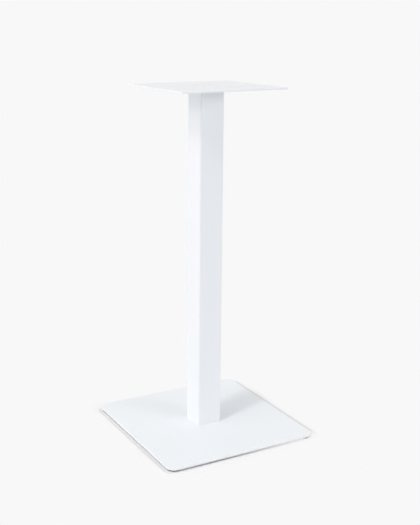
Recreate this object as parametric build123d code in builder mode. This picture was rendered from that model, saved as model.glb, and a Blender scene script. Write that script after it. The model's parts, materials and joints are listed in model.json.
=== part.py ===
from build123d import *

import os

# Tall table base: base plate on four levelling feet, square column, and a top plate under the table top.
# Millimetres. The origin is on the floor under the column's axis, and +Z is up.

# Overall height, from the floor to the face that the table top lies on
height = 1020.0

# Base plate, flat steel with rounded corners
base_side = 480.0
base_thickness = 6.0
base_corner = 25.0
base_edge_break = 1.0

# Top plate, flat steel with sharp corners
top_side = 330.0
top_thickness = 5.0
top_corner = 3.0

# Small chamfer on the plates' other edges
plate_edge_break = 0.5

# Column, square hollow section
column_side = 75.0
column_wall = 2.0
column_corner = 3.0

# Flanges that close both ends of the column, flush with them and tapped for the screws
flange_thickness = 8.0
flange_gap = 0.1
flange_edge = 13.0

# Countersunk screws: base screws M8, top screws M6
base_screw_radius = 4.0
base_screw_head = 8.0
base_screw_length = 12.0
base_screw_socket = 5.0
base_screw_socket_depth = 3.0
top_screw_radius = 3.0
top_screw_head = 6.0
top_screw_length = 12.0
top_screw_socket = 4.0
top_screw_socket_depth = 2.2
screw_sink = 0.2
screw_gap = 0.15
countersink_angle = 90.0
thread_gap = 0.05

# Holes in the top plate's corners for the wood screws that hold the table top
fixing_hole_radius = 3.5
fixing_hole_inset = 25.0

# Levelling feet: a twelve-sided pad on the hexagon head of a stud that screws into a blind hole
foot_inset = 25.0
foot_hole_skin = 1.5
stud_radius = 4.0
stud_tip_gap = 0.3
stud_head_width = 13.0
pad_radius = 20.0
pad_sides = 12
pad_height = 5.0
pad_floor = 1.5
pad_heel = 1.0
pad_edge_break = 0.6

# Levels
base_bottom = pad_height
base_top = base_bottom + base_thickness
column_bottom = base_top
column_top = height - top_thickness
column_length = column_top - column_bottom

# Column and flange sections
column_inside = column_side - 2 * column_wall
column_inside_corner = column_corner - column_wall
flange_side = column_inside - 2 * flange_gap
flange_corner = column_inside_corner - flange_gap

# Hole centres, as distances from the two axes
screw_reach = flange_side / 2 - flange_edge
foot_reach = base_side / 2 - foot_inset
fixing_reach = top_side / 2 - fixing_hole_inset

foot_hole_depth = base_thickness - foot_hole_skin
stud_top = base_bottom + foot_hole_depth - stud_tip_gap


def corners(reach):
    """The four corners of a square pattern, anticlockwise from the near left one."""
    return [(-reach, -reach), (reach, -reach), (reach, reach), (-reach, reach)]


def upright(x, y, level):
    """A sketch plane that stands on the point, its X outwards and its Y upwards."""
    return Plane(origin=(x, y, level), x_dir=(1, 0, 0), z_dir=(0, -1, 0))


def facing_down(level):
    """A horizontal plane that looks down, for holes that enter a plate from below."""
    return Plane(origin=(0, 0, level), x_dir=(1, 0, 0), z_dir=(0, 0, -1))


def save(piece, name):
    """Labels a finished piece and writes it as the STEP file of that name."""
    piece.label = name
    export_step(piece, f"parts/{name}.step")


os.makedirs("parts", exist_ok=True)

# Base plate: countersunk from below for the column's screws, with a blind tapped hole for each foot
with BuildPart() as base_plate:
    with BuildSketch(Plane.XY.offset(base_bottom)):
        RectangleRounded(base_side, base_side, base_corner)
    extrude(amount=base_thickness)
    chamfer(base_plate.faces().sort_by(Axis.Z)[-1].edges(), length=base_edge_break)
    chamfer(base_plate.faces().sort_by(Axis.Z)[0].edges(), length=plate_edge_break)
    with Locations(facing_down(base_bottom)):
        with GridLocations(2 * screw_reach, 2 * screw_reach, 2, 2):
            CounterSinkHole(
                radius=base_screw_radius + 2 * screw_gap,
                counter_sink_radius=base_screw_head + screw_sink + screw_gap,
                counter_sink_angle=countersink_angle,
            )
    with Locations(facing_down(base_bottom)):
        with GridLocations(2 * foot_reach, 2 * foot_reach, 2, 2):
            Hole(radius=stud_radius + thread_gap, depth=foot_hole_depth)
save(base_plate.part, "base_plate")

# Column: one length of tube from plate to plate
with BuildPart() as column:
    with BuildSketch(Plane.XY.offset(column_bottom)):
        RectangleRounded(column_side, column_side, column_corner)
        RectangleRounded(column_inside, column_inside, column_inside_corner, mode=Mode.SUBTRACT)
    extrude(amount=column_length)
save(column.part, "column")

# Foot flange, flush with the column's lower end
with BuildPart() as column_foot_flange:
    with BuildSketch(Plane.XY.offset(column_bottom)):
        RectangleRounded(flange_side, flange_side, flange_corner)
        with GridLocations(2 * screw_reach, 2 * screw_reach, 2, 2):
            Circle(base_screw_radius + thread_gap, mode=Mode.SUBTRACT)
    extrude(amount=flange_thickness)
save(column_foot_flange.part, "column_foot_flange")

# Head flange, flush with the column's upper end
with BuildPart() as column_head_flange:
    with BuildSketch(Plane.XY.offset(column_top)):
        RectangleRounded(flange_side, flange_side, flange_corner)
        with GridLocations(2 * screw_reach, 2 * screw_reach, 2, 2):
            Circle(top_screw_radius + thread_gap, mode=Mode.SUBTRACT)
    extrude(amount=-flange_thickness)
save(column_head_flange.part, "column_head_flange")

# Top plate: countersunk from above for its screws, with a plain hole in each corner
with BuildPart() as top_plate:
    with BuildSketch(Plane.XY.offset(column_top)):
        RectangleRounded(top_side, top_side, top_corner)
    extrude(amount=top_thickness)
    chamfer(top_plate.faces().sort_by(Axis.Z)[-1].edges(), length=plate_edge_break)
    chamfer(top_plate.faces().sort_by(Axis.Z)[0].edges(), length=plate_edge_break)
    with Locations(Plane.XY.offset(height)):
        with GridLocations(2 * screw_reach, 2 * screw_reach, 2, 2):
            CounterSinkHole(
                radius=top_screw_radius + 2 * screw_gap,
                counter_sink_radius=top_screw_head + screw_sink + screw_gap,
                counter_sink_angle=countersink_angle,
            )
    with Locations(Plane.XY.offset(height)):
        with GridLocations(2 * fixing_reach, 2 * fixing_reach, 2, 2):
            Hole(radius=fixing_hole_radius)
save(top_plate.part, "top_plate")

# Base screws: heads sunk in the base plate's underside, shanks up into the foot flange
for number, (x, y) in enumerate(corners(screw_reach), start=1):
    head_level = base_bottom + screw_sink
    with BuildPart() as base_screw:
        with BuildSketch(upright(x, y, head_level)):
            with BuildLine():
                Polyline(
                    (0, 0),
                    (base_screw_head, 0),
                    (base_screw_radius, base_screw_head - base_screw_radius),
                    (base_screw_radius, base_screw_length),
                    (0, base_screw_length),
                    close=True,
                )
            make_face()
        revolve(axis=Axis((x, y, head_level), (0, 0, 1)))
        with BuildSketch(Plane(origin=(x, y, head_level))):
            RegularPolygon(radius=base_screw_socket / 2, side_count=6, major_radius=False)
        extrude(amount=base_screw_socket_depth, mode=Mode.SUBTRACT)
    save(base_screw.part, f"base_screw_{number}")

# Top screws: heads sunk in the top plate's upper face, shanks down into the head flange
for number, (x, y) in enumerate(corners(screw_reach), start=1):
    head_level = height - screw_sink
    with BuildPart() as top_screw:
        with BuildSketch(upright(x, y, head_level)):
            with BuildLine():
                Polyline(
                    (0, 0),
                    (top_screw_head, 0),
                    (top_screw_radius, top_screw_radius - top_screw_head),
                    (top_screw_radius, -top_screw_length),
                    (0, -top_screw_length),
                    close=True,
                )
            make_face()
        revolve(axis=Axis((x, y, head_level), (0, 0, 1)))
        with BuildSketch(Plane(origin=(x, y, head_level))):
            RegularPolygon(radius=top_screw_socket / 2, side_count=6, major_radius=False)
        extrude(amount=-top_screw_socket_depth, mode=Mode.SUBTRACT)
    save(top_screw.part, f"top_screw_{number}")

# Foot studs: hexagon head pressed into the pad, shank up into the base plate's blind hole
for number, (x, y) in enumerate(corners(foot_reach), start=1):
    with BuildPart() as foot_stud:
        with BuildSketch(Plane(origin=(x, y, pad_floor))):
            RegularPolygon(radius=stud_head_width / 2, side_count=6, major_radius=False)
        extrude(amount=pad_height - pad_floor)
        with BuildSketch(Plane(origin=(x, y, pad_height))):
            Circle(stud_radius)
        extrude(amount=stud_top - pad_height)
    save(foot_stud.part, f"foot_stud_{number}")

# Foot pads: flats round the rim for turning the foot, a bevelled heel, and a pocket for the stud's head
for number, (x, y) in enumerate(corners(foot_reach), start=1):
    with BuildPart() as foot_pad:
        with BuildSketch(Plane(origin=(x, y, 0))):
            RegularPolygon(radius=pad_radius, side_count=pad_sides)
        extrude(amount=pad_height)
        chamfer(foot_pad.faces().sort_by(Axis.Z)[0].edges(), length=pad_heel)
        chamfer(foot_pad.faces().sort_by(Axis.Z)[-1].edges(), length=pad_edge_break)
        with BuildSketch(Plane(origin=(x, y, pad_floor))):
            RegularPolygon(radius=stud_head_width / 2, side_count=6, major_radius=False)
        extrude(amount=pad_height - pad_floor, mode=Mode.SUBTRACT)
    save(foot_pad.part, f"foot_pad_{number}")
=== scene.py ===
# %% [markdown]
# # A tall table base
# The object is a pedestal for a bar-height table: a thin square base plate on four levelling feet,
# a square tube and a flat plate that the table top is screwed to. Everything but its screws and
# feet is white powder-coated steel. The solids come from the CAD frame, in metres and in place.
# Each cell below adds one thing to them: the camera, the light, the floor, a finish or a piece.

# %% Load the frame
import json
import math

import bpy
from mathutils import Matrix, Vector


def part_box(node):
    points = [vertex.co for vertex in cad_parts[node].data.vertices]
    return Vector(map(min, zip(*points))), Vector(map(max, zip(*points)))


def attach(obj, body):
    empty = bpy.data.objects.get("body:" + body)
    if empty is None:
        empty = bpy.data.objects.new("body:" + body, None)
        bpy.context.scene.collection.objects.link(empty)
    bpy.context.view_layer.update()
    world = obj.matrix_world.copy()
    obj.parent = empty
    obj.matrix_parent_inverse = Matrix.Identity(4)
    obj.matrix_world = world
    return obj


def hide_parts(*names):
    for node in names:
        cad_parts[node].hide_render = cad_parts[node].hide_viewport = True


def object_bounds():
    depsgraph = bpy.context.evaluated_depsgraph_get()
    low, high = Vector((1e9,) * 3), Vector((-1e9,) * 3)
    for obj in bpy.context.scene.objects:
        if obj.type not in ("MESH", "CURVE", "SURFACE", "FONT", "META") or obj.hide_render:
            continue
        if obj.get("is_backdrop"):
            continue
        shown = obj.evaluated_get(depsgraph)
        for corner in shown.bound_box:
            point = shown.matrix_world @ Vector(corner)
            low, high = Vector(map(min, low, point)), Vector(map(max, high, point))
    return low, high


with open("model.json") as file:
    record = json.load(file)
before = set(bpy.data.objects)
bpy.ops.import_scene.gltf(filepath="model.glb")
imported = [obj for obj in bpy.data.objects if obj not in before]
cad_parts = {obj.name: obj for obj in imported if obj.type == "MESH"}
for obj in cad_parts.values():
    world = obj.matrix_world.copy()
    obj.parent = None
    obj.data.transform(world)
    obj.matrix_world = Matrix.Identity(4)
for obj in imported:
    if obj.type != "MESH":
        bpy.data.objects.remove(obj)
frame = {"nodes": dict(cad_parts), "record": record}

mm = 0.001
cad_box = [list(corner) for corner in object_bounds()]
print("nodes:", len(frame["nodes"]), "box:", cad_box)

# %% [markdown]
# ## Camera
# The picture was taken from a little above the near corner, with a medium-long lens. The edges of
# the plates and the column fix the camera: its place, its two turns and its lens were fitted so that
# their corners fall where the picture has them. The picture's frame was cropped off-centre, and a
# small shift of the lens stands for that crop, so upright edges keep their slight lean.

# %% Camera
looks_down = 12.074
turned_right = 27.600

bpy.context.scene.view_settings.view_transform = "Standard"
camera_data = bpy.data.cameras.new("picture_camera")
camera_data.sensor_width = 36.0
camera_data.lens = 62.6
camera_data.shift_x = 0.0814
camera_data.shift_y = -0.0958
camera_data.clip_end = 60.0
camera = bpy.data.objects.new("picture_camera", camera_data)
bpy.context.scene.collection.objects.link(camera)
camera.location = (-1.2977, -2.2454, 1.2097)
camera.rotation_euler = (math.radians(90.0 - looks_down), 0.0, math.radians(-turned_right))
bpy.context.scene.camera = camera
print("camera at", tuple(camera.location), "lens", camera_data.lens)

# %% [markdown]
# ## Colours and nodes
# A colour is easiest to pick as the six-figure hex value that a painting program shows, but the
# renderer mixes light, so it wants linear numbers. One function turns the one into the other.
# A second one adds a node to a shader, with its settings and with the sockets that feed it, so that
# each shader below reads as a short list of what the finish is made of.

# %% Colour and node helpers
def linear(hex_value):
    """Turns an sRGB hex value such as "F4F6F8" into linear red, green, blue and alpha."""
    parts = [int(hex_value[i:i + 2], 16) / 255.0 for i in (0, 2, 4)]
    return [c / 12.92 if c <= 0.04045 else ((c + 0.055) / 1.055) ** 2.4 for c in parts] + [1.0]


def add_node(tree, kind, inputs=None, **settings):
    """Adds one node. Inputs are numbers, colours or the sockets that feed them."""
    node = tree.nodes.new(kind)
    for name, value in settings.items():
        setattr(node, name, value)
    for name, value in (inputs or {}).items():
        if isinstance(value, bpy.types.NodeSocket):
            tree.links.new(value, node.inputs[name])
        else:
            node.inputs[name].default_value = value
    return node


print("a painter's half grey in linear light:", round(linear("808080")[0], 3))

# %% [markdown]
# ## Room light
# A white object shows its form only by small steps of grey, so the light has to come unevenly.
# The studio is a soft room with a wide box overhead, which lights the plates, and with long low
# strips round the sides, which light the column. The strips lie near eye level, so the top plate
# hides them only from the last few centimetres of the column: there the shade under it is deep
# and short, as in the picture. Each lobe of the world is a direction, a sharpness, a flatness that
# presses it to the horizon, a level and a tint, and the lobes simply add up.

# %% Room light
room_lobes = {
    "ceiling": ((0.0, 0.0, 1.0), 1, 0, 0.73, (0.97, 0.98, 1.0)),
    "overhead_box": ((0.0, 0.0, 1.0), 8, 0, 0.99, (0.99, 1.0, 1.0)),
    "left_strip": ((-0.7071, 0.7071, 0.0), 4, 20, 3.25, (0.98, 0.975, 0.98)),
    "right_strip": ((0.7071, -0.7071, 0.0), 4, 20, 0.68, (0.94, 0.97, 1.0)),
    "back_wall": ((0.5, 0.866, 0.0), 4, 0, 0.63, (1.0, 0.90, 0.85)),
}

world = bpy.data.worlds.new("studio_room")
bpy.context.scene.world = world
world.use_nodes = True
room = world.node_tree
room.nodes.clear()
direction = add_node(room, "ShaderNodeTexCoord").outputs["Generated"]
upwards = (0.0, 0.0, 1.0)
rise = add_node(
    room, "ShaderNodeVectorMath", {0: direction, 1: upwards}, operation="DOT_PRODUCT",
).outputs["Value"]
squared = add_node(room, "ShaderNodeMath", {0: rise, 1: 2.0}, operation="POWER")
near_horizon = add_node(room, "ShaderNodeMath", {0: 1.0, 1: squared.outputs[0]}, operation="SUBTRACT")
room_light = (0.0, 0.0, 0.0)
for name, (axis, sharpness, flatness, level, tint) in room_lobes.items():
    facing = add_node(room, "ShaderNodeVectorMath", {0: direction, 1: axis}, operation="DOT_PRODUCT")
    lit = add_node(room, "ShaderNodeMath", {0: facing.outputs["Value"], 1: 0.0}, operation="MAXIMUM")
    round_lobe = add_node(
        room, "ShaderNodeMath", {0: lit.outputs[0], 1: float(sharpness)}, operation="POWER",
    )
    pressed = add_node(
        room, "ShaderNodeMath", {0: near_horizon.outputs[0], 1: float(flatness)}, operation="POWER",
    )
    lobe = add_node(
        room, "ShaderNodeMath", {0: round_lobe.outputs[0], 1: pressed.outputs[0]}, operation="MULTIPLY",
    )
    tinted = tuple(level * part for part in tint)
    colour = add_node(
        room, "ShaderNodeVectorMath", {0: tinted, "Scale": lobe.outputs[0]}, operation="SCALE",
    )
    room_light = add_node(
        room, "ShaderNodeVectorMath", {0: room_light, 1: colour.outputs[0]},
    ).outputs[0]
    print(name, "level", level)

# %% [markdown]
# ## Background
# The picture's background is one plain pale grey. The camera sees it past the floor in every
# direction. Mirrored and transmitted rays see it too, so that the object stands in front of the same
# backdrop that it mirrors, but only up to the backdrop's upper edge. That is given as a share of
# straight up, and 0.08 is not quite five degrees above the horizon. Over the edge they see the room.

# %% Background
background_colour = linear("F8F8F8")
backdrop_thins = 0.0
backdrop_ends = 0.08

lighting = add_node(room, "ShaderNodeBackground", {"Color": room_light, "Strength": 1.0})
seen = add_node(room, "ShaderNodeBackground", {"Color": background_colour, "Strength": 1.0})
path = add_node(room, "ShaderNodeLightPath")
backdrop = add_node(room, "ShaderNodeMapRange", {
    "Value": rise,
    "From Min": backdrop_thins,
    "From Max": backdrop_ends,
    "To Min": 1.0,
    "To Max": 0.0,
})
mirrored = add_node(
    room, "ShaderNodeMath",
    {0: path.outputs["Is Glossy Ray"], 1: path.outputs["Is Transmission Ray"]}, operation="MAXIMUM",
)
on_backdrop = add_node(
    room, "ShaderNodeMath", {0: mirrored.outputs[0], 1: backdrop.outputs[0]}, operation="MULTIPLY",
)
shown = add_node(
    room, "ShaderNodeMath",
    {0: path.outputs["Is Camera Ray"], 1: on_backdrop.outputs[0]}, operation="MAXIMUM",
)
mixed = add_node(
    room, "ShaderNodeMixShader", {0: shown.outputs[0], 1: lighting.outputs[0], 2: seen.outputs[0]},
)
add_node(room, "ShaderNodeOutputWorld", {"Surface": mixed.outputs[0]})
print("backdrop ends", round(math.degrees(math.asin(backdrop_ends)), 1), "degrees above the horizon")

# %% [markdown]
# ## Lamps
# Suns stand for the studio's lamps, because a sun lights every spot alike and so leaves the floor
# even. The angle of a sun is how wide its lamp looks from the object, and it sets how soft the edge of
# a shadow is. Four lamps at the left, from a small high one to a wide low one, lay the column's
# shadow across the base plate, dark and crisp near the foot and softer further out. The low lamp at
# the front right draws the faint second shadow, and lights the right face under the top plate.
# Each lamp is the side it stands on, its height in degrees, its width in degrees, a level and a tint.

# %% Lamps
lamps = {
    "left_low": ((-0.966, -0.259), 25.0, 15.0, 0.52, (0.98, 0.88, 1.0)),
    "left_high": ((-0.921, -0.391), 45.0, 20.0, 0.33, (1.0, 0.94, 0.85)),
    "left_small": ((-0.940, -0.342), 45.0, 5.0, 0.30, (0.98, 0.99, 1.0)),
    "left_wide": ((-1.0, 0.0), 25.0, 40.0, 0.35, (1.0, 1.0, 0.86)),
    "front_right_low": ((0.5, -0.866), 12.0, 20.0, 0.845, (1.0, 0.99, 1.0)),
}
for name, (from_side, height_angle, width_angle, level, tint) in lamps.items():
    lamp_data = bpy.data.lights.new(name, "SUN")
    lamp_data.energy = level
    lamp_data.color = tint
    lamp_data.angle = math.radians(width_angle)
    lamp = bpy.data.objects.new(name, lamp_data)
    bpy.context.scene.collection.objects.link(lamp)
    turn = math.atan2(from_side[1], from_side[0]) + math.radians(90.0)
    lamp.rotation_euler = (math.radians(90.0 - height_angle), 0.0, turn)
    print(name, "level", level, "width", width_angle)

# %% [markdown]
# ## Floor
# The floor of the picture is a plain pale grey that darkens only close to the object. So the floor is
# one large plane, and its finish is worked out from how far a spot lies from the base plate's edge.
# The plate is a square with rounded corners: whatever sticks out past the straight part of its sides
# has a length, and that length less the corner's radius is the distance from the edge, on all sides.

# %% Floor and its distances
def new_material(name):
    """An empty node material and its tree."""
    material = bpy.data.materials.new(name)
    material.use_nodes = True
    material.node_tree.nodes.clear()
    return material, material.node_tree


floor_side = 24.0
base_corner = 25 * mm
base_straight = 215 * mm

bpy.ops.object.select_all(action="DESELECT")
bpy.ops.mesh.primitive_plane_add(size=floor_side, location=(0.0, 0.0, 0.0))
floor = bpy.context.object
floor.name = "studio_floor"
floor_material, tree = new_material("matt_floor")
place = add_node(tree, "ShaderNodeTexCoord").outputs["Object"]
across = add_node(tree, "ShaderNodeSeparateXYZ", {0: place})
beside = add_node(tree, "ShaderNodeVectorMath", {0: place}, operation="ABSOLUTE")
beyond = add_node(
    tree, "ShaderNodeVectorMath",
    {0: beside.outputs[0], 1: (base_straight, base_straight, 0.0)}, operation="SUBTRACT",
)
outside = add_node(
    tree, "ShaderNodeVectorMath", {0: beyond.outputs[0], 1: (0.0, 0.0, 0.0)}, operation="MAXIMUM",
)
reach = add_node(
    tree, "ShaderNodeVectorMath", {0: outside.outputs[0]}, operation="LENGTH",
).outputs["Value"]
from_edge = add_node(
    tree, "ShaderNodeMath", {0: reach, 1: base_corner}, operation="SUBTRACT",
).outputs[0]
print("distance starts", round((base_straight + base_corner) / mm, 1), "mm from the middle")

# %% [markdown]
# ## Contact shade
# Beside the plate's left and right edges the picture has a soft dark line one to two centimetres
# wide, a contact shade that is deeper and wider at the right. No lamp casts it, so the floor's own
# grey dips a little there. Going out from the edge, the dip grows up to not quite half its width
# and then dies away. A power of how squarely a spot lies sideways of the plate keeps the dip off
# the front and back edges. That power is the tightness, and it is higher at the right.

# %% Contact shade
floor_colour = linear("F5F5F5")
shade_at_sides = {
    "depth": (0.17, 0.25),
    "width": (14.5 * mm, 28 * mm),
    "tightness": (2.0, 10.0),
}
shade_starts = 0.15
shade_peaks = 0.45
shade_ends = 1.0

shade = {}
for name, (at_left, at_right) in shade_at_sides.items():
    shade[name] = add_node(tree, "ShaderNodeMapRange", {
        "Value": across.outputs["X"],
        "From Min": -base_straight,
        "From Max": base_straight,
        "To Min": at_left,
        "To Max": at_right,
    }).outputs["Result"]
around = add_node(tree, "ShaderNodeSeparateXYZ", {0: outside.outputs[0]})
sidewards = add_node(tree, "ShaderNodeMath", {0: around.outputs["X"], 1: reach}, operation="DIVIDE")
beside_only = add_node(
    tree, "ShaderNodeMath", {0: sidewards.outputs[0], 1: shade["tightness"]}, operation="POWER",
)
shade_place = add_node(tree, "ShaderNodeMath", {0: from_edge, 1: shade["width"]}, operation="DIVIDE")
rising = add_node(tree, "ShaderNodeMapRange", {
    "Value": shade_place.outputs[0],
    "From Min": shade_starts,
    "From Max": shade_peaks,
}, interpolation_type="SMOOTHSTEP")
falling = add_node(tree, "ShaderNodeMapRange", {
    "Value": shade_place.outputs[0],
    "From Min": shade_peaks,
    "From Max": shade_ends,
    "To Min": 1.0,
    "To Max": 0.0,
}, interpolation_type="SMOOTHSTEP")
dip = shade["depth"]
for share in (beside_only.outputs[0], rising.outputs["Result"], falling.outputs["Result"]):
    dip = add_node(tree, "ShaderNodeMath", {0: dip, 1: share}, operation="MULTIPLY").outputs[0]
left_over = add_node(tree, "ShaderNodeMath", {0: 1.0, 1: dip}, operation="SUBTRACT")
shaded_colour = add_node(
    tree, "ShaderNodeVectorMath",
    {0: floor_colour[:3], "Scale": left_over.outputs[0]}, operation="SCALE",
)
print("contact shade, left and right:", shade_at_sides["depth"])

# %% [markdown]
# ## Light under the front edge
# Under the front edge the picture's shadow thins out towards the right, where light spills in below
# the plate. A lamp low enough for that would light the column's faces too. So a share of the floor
# takes the background's glow there: none at the left, most of it at the right, and it grows from
# nothing a few centimetres behind the edge to its full share just before it.

# %% Spilled light
spill_starts = -100 * mm
spill_full = 250 * mm
spill_inner = -185 * mm
spill_outer = -220 * mm
spill_most = 0.8

rightwards = add_node(tree, "ShaderNodeMapRange", {
    "Value": across.outputs["X"],
    "From Min": spill_starts,
    "From Max": spill_full,
    "To Max": spill_most,
}, interpolation_type="SMOOTHSTEP")
forwards = add_node(tree, "ShaderNodeMapRange", {
    "Value": across.outputs["Y"],
    "From Min": spill_inner,
    "From Max": spill_outer,
})
spill = add_node(
    tree, "ShaderNodeMath",
    {0: rightwards.outputs["Result"], 1: forwards.outputs["Result"]}, operation="MULTIPLY",
)
print("spilled light is at most", spill_most, "of the background")

# %% [markdown]
# ## The floor's finish
# Round the base plate the floor is matt and takes the object's shadow. Further out it fades into a
# glow of the very same grey for the camera, so that it meets the background without an edge. What
# the object gets back from the floor is a plain matt grey, a little darker, and has no glow in it.

# %% Floor finish
bounce_colour = linear("E1E1E1")
fade_start = 8 * mm
fade_end = 45 * mm

fade = add_node(tree, "ShaderNodeMapRange", {
    "Value": from_edge,
    "From Min": fade_start,
    "From Max": fade_end,
}, interpolation_type="SMOOTHSTEP")
glow_part = add_node(
    tree, "ShaderNodeMath", {0: fade.outputs["Result"], 1: spill.outputs[0]}, operation="MAXIMUM",
)
path = add_node(tree, "ShaderNodeLightPath")
glow_share = add_node(
    tree, "ShaderNodeMath",
    {0: glow_part.outputs[0], 1: path.outputs["Is Camera Ray"]}, operation="MULTIPLY",
)
seen_matt = add_node(tree, "ShaderNodeBsdfDiffuse", {"Color": shaded_colour.outputs[0]})
lit_matt = add_node(tree, "ShaderNodeBsdfDiffuse", {"Color": bounce_colour})
matt = add_node(
    tree, "ShaderNodeMixShader",
    {0: path.outputs["Is Camera Ray"], 1: lit_matt.outputs[0], 2: seen_matt.outputs[0]},
)
glow = add_node(tree, "ShaderNodeEmission", {"Color": background_colour, "Strength": 1.0})
mixed = add_node(
    tree, "ShaderNodeMixShader", {0: glow_share.outputs[0], 1: matt.outputs[0], 2: glow.outputs[0]},
)
add_node(tree, "ShaderNodeOutputMaterial", {"Surface": mixed.outputs[0]})
floor.data.materials.append(floor_material)
floor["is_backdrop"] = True
print("floor fades over", round((fade_end - fade_start) / mm, 1), "mm")

# %% [markdown]
# ## White powder coat
# Powder coat is dry paint powder, sprayed on and baked until it flows together. The skin is tough,
# satin and evenly white, and it never levels quite flat: a fine orange peel of shallow swells, each
# one to two millimetres across, breaks up every reflection. To the eye that gives a quiet white
# with a wide soft sheen and no mirror image. The white is a touch cool, as the picture's is. The
# noise's scale of 700 makes the swells 1.4 mm across, and the bump's distance is their real depth.

# %% White powder coat
coat_colour = linear("EEF2F5")
coat_roughness = 0.42
peel_scale = 700.0
peel_depth = 0.06 * mm

coat_material, tree = new_material("white_powder_coat")
place = add_node(tree, "ShaderNodeTexCoord").outputs["Object"]
peel = add_node(
    tree, "ShaderNodeTexNoise",
    {"Vector": place, "Scale": peel_scale, "Detail": 2.0, "Roughness": 0.5},
)
swell = add_node(
    tree, "ShaderNodeBump", {"Height": peel.outputs["Fac"], "Strength": 0.25, "Distance": peel_depth},
)
coat = add_node(tree, "ShaderNodeBsdfPrincipled", {
    "Base Color": coat_colour,
    "Roughness": coat_roughness,
    "Normal": swell.outputs["Normal"],
})
add_node(tree, "ShaderNodeOutputMaterial", {"Surface": coat.outputs[0]})
print("powder coat:", [round(c, 3) for c in coat_colour])

# %% [markdown]
# ## Zinc-plated steel
# Screws and studs are forged from steel wire, threaded between rollers and plated in a zinc bath. The
# plating is a thin cool metal skin. It is bright, but the bath leaves it slightly clouded, so the
# gloss changes from spot to spot, and a screw's head looks pale grey instead of mirror-like. The
# clouds are 2.5 mm across, which is a noise scale of 400, and they only change the roughness.

# %% Zinc-plated steel
zinc_colour = linear("D4D8DB")
zinc_roughness = (0.32, 0.50)
cloud_scale = 400.0

zinc_material, tree = new_material("zinc_plated_steel")
place = add_node(tree, "ShaderNodeTexCoord").outputs["Object"]
cloud = add_node(tree, "ShaderNodeTexNoise", {"Vector": place, "Scale": cloud_scale, "Detail": 3.0})
rough = add_node(tree, "ShaderNodeMapRange", {
    "Value": cloud.outputs["Fac"],
    "To Min": zinc_roughness[0],
    "To Max": zinc_roughness[1],
})
zinc = add_node(tree, "ShaderNodeBsdfPrincipled", {
    "Base Color": zinc_colour,
    "Metallic": 1.0,
    "Roughness": rough.outputs["Result"],
})
add_node(tree, "ShaderNodeOutputMaterial", {"Surface": zinc.outputs[0]})
print("zinc:", [round(c, 3) for c in zinc_colour])

# %% [markdown]
# ## Black nylon
# The pads of the feet are moulded nylon, black all through. Their mould was spark-eroded, which
# leaves a fine even grain that scatters the light, so the pads look dull black and hold no glint.
# The real grain is about 0.05 mm, too fine to show, so it is drawn at 0.3 mm, six times coarser.

# %% Black nylon
nylon_colour = linear("1B1C1D")
nylon_roughness = 0.55
grain_scale = 3500.0
grain_depth = 0.04 * mm

nylon_material, tree = new_material("black_nylon")
place = add_node(tree, "ShaderNodeTexCoord").outputs["Object"]
grain = add_node(tree, "ShaderNodeTexNoise", {"Vector": place, "Scale": grain_scale, "Detail": 2.0})
spark = add_node(
    tree, "ShaderNodeBump", {"Height": grain.outputs["Fac"], "Strength": 0.4, "Distance": grain_depth},
)
nylon = add_node(tree, "ShaderNodeBsdfPrincipled", {
    "Base Color": nylon_colour,
    "Roughness": nylon_roughness,
    "Normal": spark.outputs["Normal"],
})
add_node(tree, "ShaderNodeOutputMaterial", {"Surface": nylon.outputs[0]})
print("nylon:", [round(c, 3) for c in nylon_colour])

# %% [markdown]
# ## Finishes on the frame's nodes
# The frame's solids still have plain stand-in materials. The record says which finish each node
# has on the real object, so every node's material slot gets that finish in one loop. Most nodes
# are replaced by finer pieces further down, but the two flanges inside the column keep their solids.

# %% Finishes on the frame's nodes
finishes = {
    "zinc_plated_steel": zinc_material,
    "black_nylon": nylon_material,
    "white_powder_coat": coat_material,
}
slots = {part["node"]: part["material_slot"] for part in frame["record"]["subparts"]}
for name, node in frame["nodes"].items():
    for material_slot in node.material_slots:
        material_slot.material = finishes[slots[name]]
print("finished nodes:", len(slots))

# %% [markdown]
# ## Picking by hand
# Every new piece below starts from a flat plane or circle, drawn at its real size and place, and is
# then shaped in edit mode as it would be by hand. Three small helpers do what a hand does in between:
# they clear the selection, name a piece and put its place into its mesh, and pick the rim that lies
# at one height.

# %% Selection helpers
import bmesh
from mathutils import Matrix, Vector

same_level = 0.01 * mm


def only(piece):
    """Leaves just this piece selected and active."""
    bpy.ops.object.select_all(action="DESELECT")
    piece.select_set(True)
    bpy.context.view_layer.objects.active = piece


def named(name):
    """Names the piece that was just added, and puts its place into its mesh."""
    piece = bpy.context.object
    piece.name = name
    bpy.ops.object.transform_apply(location=True, rotation=True, scale=True)
    return piece


def pick_rim(piece, level):
    """In edit mode, selects just the edges with both ends at that height."""
    bpy.context.tool_settings.mesh_select_mode = (False, True, False)
    bpy.ops.mesh.select_all(action="DESELECT")
    mesh = bmesh.from_edit_mesh(piece.data)
    for edge in mesh.edges:
        edge.select_set(all(abs(end.co.z - level) < same_level for end in edge.verts))
    mesh.select_flush_mode()
    bmesh.update_edit_mesh(piece.data)


print("a rim's level is met within", round(same_level / mm, 3), "mm")

# %% [markdown]
# ## Finishing a piece
# Modifiers do what would be slow by hand, such as taking one shape away from another, and each is
# applied at once, so that what stays is plain mesh. Weighted normals come last on every piece. They
# let a large flat face keep its own normal, so that the small rounds beside it shade cleanly.

# %% Finishing helpers
normal_weight = 100


def modifier(piece, kind, **settings):
    """Adds one modifier with its settings and applies it."""
    only(piece)
    made = piece.modifiers.new(kind.lower(), kind)
    for name, value in settings.items():
        setattr(made, name, value)
    bpy.ops.object.modifier_apply(modifier=made.name)


def smooth(piece, crease):
    """Shades curves smooth, and keeps edges sharp that fold by more than the crease's degrees."""
    only(piece)
    bpy.ops.object.shade_smooth_by_angle(angle=math.radians(crease))
    modifier(piece, "WEIGHTED_NORMAL", keep_sharp=True, weight=normal_weight)


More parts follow.
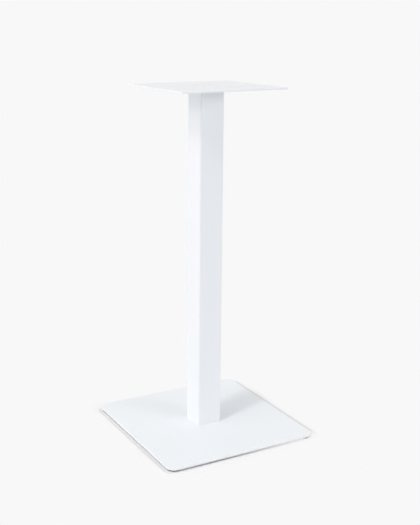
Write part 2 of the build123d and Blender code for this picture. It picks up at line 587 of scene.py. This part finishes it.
def report(piece):
    """Prints how many faces a piece has, how many of its edges are open, and its volume."""
    mesh = bmesh.new()
    mesh.from_mesh(piece.data)
    open_edges = sum(not edge.is_manifold for edge in mesh.edges)
    volume = round(mesh.calc_volume() * 1e6, 2)
    print(piece.name, "faces", len(mesh.faces), "open edges", open_edges, "volume cm3", volume)
    mesh.free()


print("normals are weighted at", normal_weight)

# %% [markdown]
# ## Coated plates
# Both plates are cut flat from steel sheet, so a plane is the natural start: its corners are bevelled
# round, it is extruded to the sheet's thickness, and its rims are bevelled again. The coat is about
# a tenth of a millimetre thick and pulls itself into a soft round over every cut edge, which is why
# the rims are rounded and not chamfered. That small round is what catches the light along the edges.

# %% Plate maker
corner_steps = 12
rim_steps = 4


def coated_plate(name, side, low, high, corner, upper_round, lower_round):
    """A flat plate with rounded corners and rims."""
    bpy.ops.object.select_all(action="DESELECT")
    bpy.ops.mesh.primitive_plane_add(size=side, location=(0.0, 0.0, low))
    plate = named(name)
    bpy.ops.object.mode_set(mode="EDIT")
    bpy.ops.mesh.select_all(action="SELECT")
    bpy.ops.mesh.bevel(offset=corner, segments=corner_steps, affect="VERTICES")
    bpy.ops.mesh.select_all(action="SELECT")
    bpy.ops.mesh.extrude_region_move(TRANSFORM_OT_translate={"value": (0.0, 0.0, high - low)})
    for level, rim_round in ((high, upper_round), (low, lower_round)):
        pick_rim(plate, level)
        bpy.ops.mesh.bevel(offset=rim_round, segments=rim_steps, affect="EDGES")
    bpy.ops.mesh.select_all(action="SELECT")
    bpy.ops.mesh.normals_make_consistent(inside=False)
    bpy.ops.object.mode_set(mode="OBJECT")
    return plate


print("corners are rounded in", corner_steps, "steps and rims in", rim_steps)

# %% [markdown]
# ## Turned shapes
# A screw's head, a drilled hole and a moulded pad are all stacks of rings: a disc is drawn, extruded
# to the next level and widened or narrowed there, over and over. With 48 sides it comes out turned,
# with 6 or 12 it comes out as a hexagon or as the pad. The same stack, made a little too long, is
# the drill: taken away from a plate with a boolean modifier, it leaves a clean countersunk hole.

# %% Ring stacks and drills
turned_sides = 48
hexagon_sides = 6
beyond_face = 1.0 * mm


def ring_stack(name, x, y, rings, sides, turn=0.0):
    """A closed shape from rings of (radius, level), the first to the last."""
    radius, level = rings[0]
    bpy.ops.object.select_all(action="DESELECT")
    bpy.ops.mesh.primitive_circle_add(
        vertices=sides, radius=radius, fill_type="NGON",
        location=(x, y, level), rotation=(0.0, 0.0, math.radians(turn)),
    )
    shape = named(name)
    bpy.ops.object.mode_set(mode="EDIT")
    bpy.ops.mesh.select_all(action="SELECT")
    for next_radius, next_level in rings[1:]:
        bpy.ops.mesh.extrude_region_move(
            TRANSFORM_OT_translate={"value": (0.0, 0.0, next_level - level)},
        )
        share = next_radius / radius
        bpy.ops.transform.resize(value=(share, share, 1.0), center_override=(x, y, next_level))
        radius, level = next_radius, next_level
    bpy.ops.mesh.select_all(action="SELECT")
    bpy.ops.mesh.normals_make_consistent(inside=False)
    bpy.ops.object.mode_set(mode="OBJECT")
    return shape


def cut_away(piece, tool):
    """Takes the tool's shape away from the piece, and removes the tool."""
    modifier(piece, "BOOLEAN", operation="DIFFERENCE", solver="EXACT", object=tool)
    bpy.data.objects.remove(tool)


def countersink(plate, x, y, face, inwards, far_face, hole, depth):
    """Drills right through a plate, with a 90 degree countersink of that depth in its face."""
    cut_away(plate, ring_stack("drill", x, y, [
        (hole + depth + beyond_face, face - inwards * beyond_face),
        (hole, face + inwards * depth),
        (hole, far_face + inwards * beyond_face),
    ], turned_sides))


print("drills have", turned_sides, "sides and stand out by", beyond_face / mm, "mm")

# %% [markdown]
# ## Hole places
# The frame knows where each screw and foot sits, so the holes are drilled there and nowhere else.
# The levels and sides of the plates come from the frame's boxes in the same way.

# %% Levels and places
numbers = (1, 2, 3, 4)


def middle(node):
    """The place of a node's axis, seen from above."""
    low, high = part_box(node)
    return (low[0] + high[0]) / 2, (low[1] + high[1]) / 2


base_low, base_high = (corner[2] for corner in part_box("base_plate"))
base_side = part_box("base_plate")[1][0] * 2
top_low, top_high = (corner[2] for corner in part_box("top_plate"))
top_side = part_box("top_plate")[1][0] * 2
base_screw_places = [middle(f"base_screw_{number}") for number in numbers]
top_screw_places = [middle(f"top_screw_{number}") for number in numbers]
foot_places = [middle(f"foot_pad_{number}") for number in numbers]
print("base plate from", round(base_low, 4), "to", round(base_high, 4), "m")

# %% [markdown]
# ## Base plate
# Six millimetres of steel, 480 mm square, with corners of 25 mm radius. From below it is countersunk
# for the four screws that hold the column, and drilled part way for the four levelling feet.

# %% Base plate
plate_crease = 35
base_screw_hole = 4.3 * mm
base_sink_depth = 4.05 * mm
stud_hole = 4.05 * mm
stud_hole_depth = 4.5 * mm

base_plate = coated_plate(
    "coated_base_plate", base_side, base_low, base_high,
    corner=base_corner, upper_round=1.1 * mm, lower_round=0.6 * mm,
)
for x, y in base_screw_places:
    countersink(base_plate, x, y, base_low, 1.0, base_high, base_screw_hole, base_sink_depth)
for x, y in foot_places:
    cut_away(base_plate, ring_stack("drill", x, y, [
        (stud_hole, base_low - beyond_face),
        (stud_hole, base_low + stud_hole_depth),
    ], turned_sides))
smooth(base_plate, plate_crease)
base_plate.data.materials.append(coat_material)
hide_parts("base_plate")
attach(base_plate, "pedestal")
report(base_plate)

# %% [markdown]
# ## Top plate
# Five millimetres thick and 330 mm square, with almost sharp corners. The column's screws are sunk
# in its upper face, and each corner has a hole for the wood screw that holds the table top. The
# coat rounds the rims of those holes too, so their drill widens a little at both faces.

# %% Top plate
top_screw_hole = 3.3 * mm
top_sink_depth = 3.05 * mm
fixing_hole = 3.5 * mm
fixing_rim = 0.4 * mm
fixing_reach = top_side / 2 - 25 * mm

top_plate = coated_plate(
    "coated_top_plate", top_side, top_low, top_high,
    corner=3 * mm, upper_round=0.6 * mm, lower_round=0.8 * mm,
)
for x, y in top_screw_places:
    countersink(top_plate, x, y, top_high, -1.0, top_low, top_screw_hole, top_sink_depth)
for side_x, side_y in ((-1, -1), (1, -1), (1, 1), (-1, 1)):
    cut_away(top_plate, ring_stack("drill", side_x * fixing_reach, side_y * fixing_reach, [
        (fixing_hole + fixing_rim + beyond_face, top_high + beyond_face),
        (fixing_hole, top_high - fixing_rim),
        (fixing_hole, top_low + fixing_rim),
        (fixing_hole + fixing_rim + beyond_face, top_low - beyond_face),
    ], turned_sides))
smooth(top_plate, plate_crease)
top_plate.data.materials.append(coat_material)
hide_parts("top_plate")
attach(top_plate, "pedestal")
report(top_plate)

# %% [markdown]
# ## Column
# The column is square steel tube, 75 mm with a 2 mm wall, sawn square at both ends. Tube is rolled,
# so its corners are round, and the near one carries the thin bright line that runs from top to
# bottom of the picture. A plane with round corners is inset by the wall and pulled up to its length.

# %% Column
column_corner = 3 * mm
column_wall = 2 * mm
column_low, column_high = (corner[2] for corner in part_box("column"))
column_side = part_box("column")[1][0] * 2

bpy.ops.object.select_all(action="DESELECT")
bpy.ops.mesh.primitive_plane_add(size=column_side, location=(0.0, 0.0, column_low))
column = named("coated_column")
bpy.ops.object.mode_set(mode="EDIT")
bpy.ops.mesh.select_all(action="SELECT")
bpy.ops.mesh.bevel(offset=column_corner, segments=corner_steps, affect="VERTICES")
bpy.ops.mesh.select_all(action="SELECT")
bpy.ops.mesh.inset(thickness=column_wall)
bpy.ops.mesh.delete(type="FACE")
bpy.ops.mesh.select_all(action="SELECT")
bpy.ops.mesh.extrude_region_move(
    TRANSFORM_OT_translate={"value": (0.0, 0.0, column_high - column_low)},
)
bpy.ops.mesh.select_all(action="SELECT")
bpy.ops.mesh.normals_make_consistent(inside=False)
bpy.ops.object.mode_set(mode="OBJECT")
smooth(column, plate_crease)
column.data.materials.append(coat_material)
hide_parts("column")
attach(column, "pedestal")
report(column)

# %% [markdown]
# ## Screw threads
# A thread is one groove that winds up the shank. Its profile over a single pitch, root, flank, crest
# and flank, is drawn as a line of points, and a screw modifier sweeps it round the axis and up by
# one pitch a turn. Two bisect cuts then square off the ends and fill them, as a die would leave them.

# %% Thread maker
thread_depth = 0.6
thread_steps = 32
weld = 0.001 * mm


def threaded_shank(name, x, y, low, high, crest, pitch):
    """A closed length of thread between two levels, with its axis upright."""
    root = crest - thread_depth * pitch
    turns = math.ceil((high - low) / pitch) + 2
    profile = [(root, 0.10), (crest, 0.44), (crest, 0.56), (root, 0.90), (root, 1.0)]
    bpy.ops.object.select_all(action="DESELECT")
    bpy.ops.mesh.primitive_plane_add(size=pitch, location=(root, 0.0, 0.0))
    shank = named(name)
    bpy.ops.object.mode_set(mode="EDIT")
    bpy.ops.mesh.select_mode(type="VERT")
    bpy.ops.mesh.select_all(action="SELECT")
    bpy.ops.mesh.merge(type="CENTER")
    here = Vector((root, 0.0, 0.0))
    for radius, share in profile:
        there = Vector((radius, 0.0, share * pitch))
        bpy.ops.mesh.extrude_region_move(TRANSFORM_OT_translate={"value": there - here})
        here = there
    bpy.ops.object.mode_set(mode="OBJECT")
    modifier(
        shank, "SCREW", axis="Z", angle=math.tau, screw_offset=pitch,
        iterations=turns, steps=thread_steps, render_steps=thread_steps,
    )
    shank.data.transform(Matrix.Translation((x, y, low - pitch)))
    only(shank)
    bpy.ops.object.mode_set(mode="EDIT")
    bpy.ops.mesh.select_all(action="SELECT")
    bpy.ops.mesh.remove_doubles(threshold=weld)
    for level, up in ((low, 1.0), (high, -1.0)):
        bpy.ops.mesh.select_all(action="SELECT")
        bpy.ops.mesh.bisect(
            plane_co=(x, y, level), plane_no=(0.0, 0.0, up),
            use_fill=True, clear_inner=True, threshold=weld,
        )
    bpy.ops.mesh.select_all(action="SELECT")
    bpy.ops.mesh.normals_make_consistent(inside=False)
    bpy.ops.object.mode_set(mode="OBJECT")
    return shank


print("each turn of thread has", thread_steps, "steps")

# %% [markdown]
# ## Countersunk screws
# Four M8 screws pull the base plate to the column, and four M6 screws hold the top plate. Each has a
# 90 degree head with a narrow rim, a hexagon socket for the key and a full thread. The head is
# a ring stack, the thread is fused to it, and the socket is cut with a six-sided stack.

# %% Screw maker
screw_crease = 40
head_rim = 0.25 * mm
neck_overlap = 0.1 * mm


def joined(piece, other):
    """Fuses the other shape into the piece."""
    modifier(piece, "BOOLEAN", operation="UNION", solver="EXACT", object=other)
    bpy.data.objects.remove(other)


def countersunk_screw(name, x, y, face, inwards, shank, length, pitch, key, socket_depth):
    """A countersunk screw with its head's face at a level, and its shank up (1) or down (-1)."""
    head = 2 * shank
    screw = ring_stack(name, x, y, [
        (head - head_rim, face),
        (head - head_rim, face + inwards * head_rim),
        (shank - neck_overlap, face + inwards * (head - shank + neck_overlap)),
    ], turned_sides)
    neck = face + inwards * (head - shank - neck_overlap)
    low, high = sorted((neck, face + inwards * length))
    joined(screw, threaded_shank("thread", x, y, low, high, shank, pitch))
    socket_radius = key / math.sqrt(3.0)
    cut_away(screw, ring_stack("socket", x, y, [
        (socket_radius, face - inwards * beyond_face),
        (socket_radius, face + inwards * socket_depth),
    ], hexagon_sides, turn=30.0))
    smooth(screw, screw_crease)
    screw.data.materials.append(zinc_material)
    return screw


print("screws stay creased over", screw_crease, "degrees")

# %% [markdown]
# ## Pieces that repeat
# The four base screws are alike, and so are the top screws, the studs and the pads. So one of each
# kind is modelled in its place, and the others are copies with a mesh of their own, moved to where
# the frame has them. Each copy then stands for its own node and rides on that node's body.

# %% Screws
head_sink = 0.2 * mm


def put_in_places(first, places, node_stem, bodies):
    """Copies a finished piece to the other places, and puts all of them to use."""
    from_x, from_y = places[0]
    pieces = [first]
    for x, y in places[1:]:
        piece = first.copy()
        piece.data = first.data.copy()
        piece.data.transform(Matrix.Translation((x - from_x, y - from_y, 0.0)))
        bpy.context.scene.collection.objects.link(piece)
        pieces.append(piece)
    for piece, body, number in zip(pieces, bodies, numbers):
        piece.name = f"shaped_{node_stem}_{number}"
        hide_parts(f"{node_stem}_{number}")
        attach(piece, body)


base_screw = countersunk_screw(
    "base_screw", *base_screw_places[0], face=base_low + head_sink, inwards=1.0,
    shank=4 * mm, length=12 * mm, pitch=1.25 * mm, key=5 * mm, socket_depth=3 * mm,
)
report(base_screw)
put_in_places(base_screw, base_screw_places, "base_screw", ["pedestal"] * 4)

top_screw = countersunk_screw(
    "top_screw", *top_screw_places[0], face=top_high - head_sink, inwards=-1.0,
    shank=3 * mm, length=12 * mm, pitch=1.0 * mm, key=4 * mm, socket_depth=2.2 * mm,
)
report(top_screw)
put_in_places(top_screw, top_screw_places, "top_screw", ["pedestal"] * 4)

# %% [markdown]
# ## Studs of the levelling feet
# A foot is a black nylon pad on a steel stud. The stud is a hexagon head of 13 mm with an M8 thread
# on it, which runs up into a blind hole in the base plate, so it is made like a screw without
# a socket. The thread starts a little inside the head, to fuse with it.

# %% Studs
foot_x, foot_y = foot_places[0]
foot_bodies = [f"foot_{number}" for number in numbers]
stud_low, stud_high = (corner[2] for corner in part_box("foot_stud_1"))
pad_low, pad_high = (corner[2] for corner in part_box("foot_pad_1"))
stud_head_radius = 13 * mm / math.sqrt(3.0)
thread_start = pad_high - 0.3 * mm

stud = ring_stack("foot_stud", foot_x, foot_y, [
    (stud_head_radius, stud_low),
    (stud_head_radius, pad_high),
], hexagon_sides, turn=30.0)
joined(stud, threaded_shank("thread", foot_x, foot_y, thread_start, stud_high, 4 * mm, 1.25 * mm))
smooth(stud, screw_crease)
stud.data.materials.append(zinc_material)
report(stud)

# %% [markdown]
# ## Pads of the levelling feet
# The pad has twelve flats, so that fingers can turn it in the narrow gap under the plate. The mould
# softens both of its rims by about half a millimetre. The stud's hexagon head is pressed into a
# pocket in the pad, and the pocket is cut with a stack of the same six sides. With both parts of
# the first foot made, studs and pads go to all four places, and each pair rides on its foot's body.

# %% Pads
pad_sides = 12
pad_radius = 20 * mm
pad_crease = 25

pad = ring_stack("foot_pad", foot_x, foot_y, [(pad_radius, pad_low), (pad_radius, pad_high)], pad_sides)
only(pad)
bpy.ops.object.mode_set(mode="EDIT")
for level, rim_round, steps in ((pad_low, 0.5 * mm, 4), (pad_high, 0.6 * mm, 3)):
    pick_rim(pad, level)
    bpy.ops.mesh.bevel(offset=rim_round, segments=steps, affect="EDGES")
bpy.ops.object.mode_set(mode="OBJECT")
cut_away(pad, ring_stack("pocket", foot_x, foot_y, [
    (stud_head_radius, stud_low),
    (stud_head_radius, pad_high + beyond_face),
], hexagon_sides, turn=30.0))
smooth(pad, pad_crease)
pad.data.materials.append(nylon_material)
report(pad)
put_in_places(stud, foot_places, "foot_stud", foot_bodies)
put_in_places(pad, foot_places, "foot_pad", foot_bodies)

# %% [markdown]
# ## Sizes
# The dressed object has to be exactly as large as the solids it stands for. Both boxes, the one
# measured straight after loading and the one measured now, are printed in millimetres.

# %% Sizes
dressed_box = [list(corner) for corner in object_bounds()]
for name, box in {"solids": cad_box, "dressed": dressed_box}.items():
    print(name, "in mm:", [round((high - low) / mm, 2) for low, high in zip(*box)])
